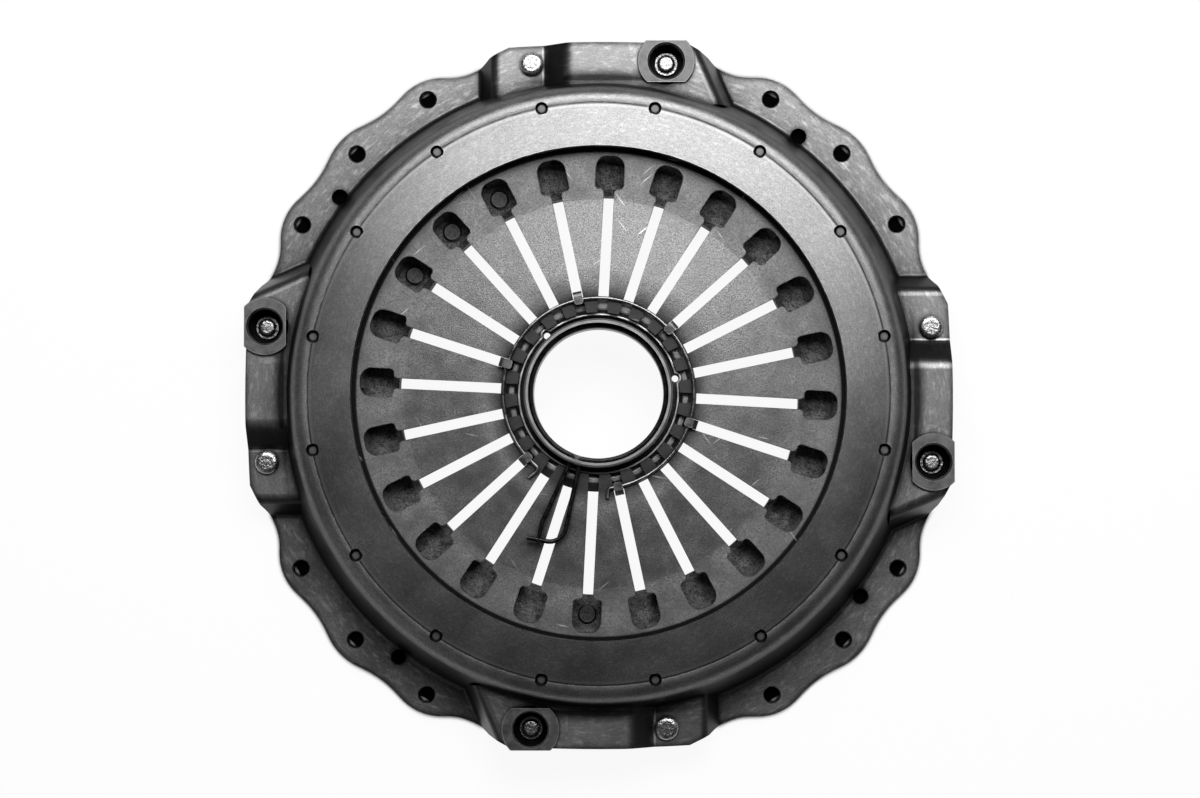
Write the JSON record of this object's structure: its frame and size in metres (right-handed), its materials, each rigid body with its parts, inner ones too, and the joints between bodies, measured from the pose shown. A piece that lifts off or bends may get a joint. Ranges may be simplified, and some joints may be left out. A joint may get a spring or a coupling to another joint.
{
  "type": "clutch pressure plate",
  "caption": "Pull-type diaphragm spring clutch cover assembly for a heavy truck: pressed cover, cast pressure plate, strap leaves, lift cups and a clawed release hub.",
  "frame": {"origin": "centre of the bolt circle on the face that bolts to the flywheel", "axes": "+Z along the clutch axis towards the gearbox, +Y to the middle of one strap land, +X to the middle of the next"},
  "size_m": [0.4834, 0.4834, 0.0613],
  "materials": {
    "cover_paint": "satin dark grey phosphated and painted pressed steel",
    "diaphragm_steel": "oiled, shot peened spring steel",
    "strap_steel": "blued spring steel strip",
    "grey_iron": "rough sand cast, with a ground friction face",
    "cup_steel": "phosphated drawn steel",
    "rivet_steel": "bright steel",
    "hub_steel": "turned and oil blackened steel",
    "claw_steel": "hardened pressed steel",
    "spring_wire": "drawn spring wire",
    "black_wire": "black oxide spring wire"
  },
  "bodies": {
    "cover_assembly": {"cover": "cover_paint", "cover_rivets": "rivet_steel", "pivot_ring": "spring_wire", "diaphragm_spring": "diaphragm_steel", "strap_1_lower_leaf": "strap_steel", "strap_1_middle_leaf": "strap_steel", "strap_1_upper_leaf": "strap_steel", "strap_2_lower_leaf": "strap_steel", "strap_2_middle_leaf": "strap_steel", "strap_2_upper_leaf": "strap_steel", "strap_3_lower_leaf": "strap_steel", "strap_3_middle_leaf": "strap_steel", "strap_3_upper_leaf": "strap_steel", "strap_4_lower_leaf": "strap_steel", "strap_4_middle_leaf": "strap_steel", "strap_4_upper_leaf": "strap_steel"},
    "plate_assembly": {"pressure_plate": "grey_iron", "lift_cup_1": "cup_steel", "lift_cup_2": "cup_steel", "lift_cup_3": "cup_steel", "lift_cup_4": "cup_steel", "plate_rivets": "rivet_steel", "plate_rivet_washers": "rivet_steel", "balance_rivets": "rivet_steel"},
    "release_hub": {"thrust_ring": "hub_steel", "bearing_sleeve": "hub_steel", "claw_ring": "claw_steel", "clamp_wire": "spring_wire", "snap_ring": "black_wire"}
  },
  "joints": [
    {"name": "plate_lift", "type": "slide", "parent": "cover_assembly", "child": "plate_assembly", "axis": [0, 0, 1], "range_m": [0, 0.0068], "stiffness_N_per_m": 20000, "springref_m": -0.005, "deforming": ["strap_1_lower_leaf", "strap_1_middle_leaf", "strap_1_upper_leaf", "strap_2_lower_leaf", "strap_2_middle_leaf", "strap_2_upper_leaf", "strap_3_lower_leaf", "strap_3_middle_leaf", "strap_3_upper_leaf", "strap_4_lower_leaf", "strap_4_middle_leaf", "strap_4_upper_leaf"]},
    {"name": "release_pull", "type": "slide", "parent": "cover_assembly", "child": "release_hub", "axis": [0, 0, 1], "range_m": [0, 0.0359], "deforming": ["diaphragm_spring"]}
  ],
  "couplings": [
    {"joint": "release_pull", "follows": "plate_lift", "ratio": 5.26}
  ]
}
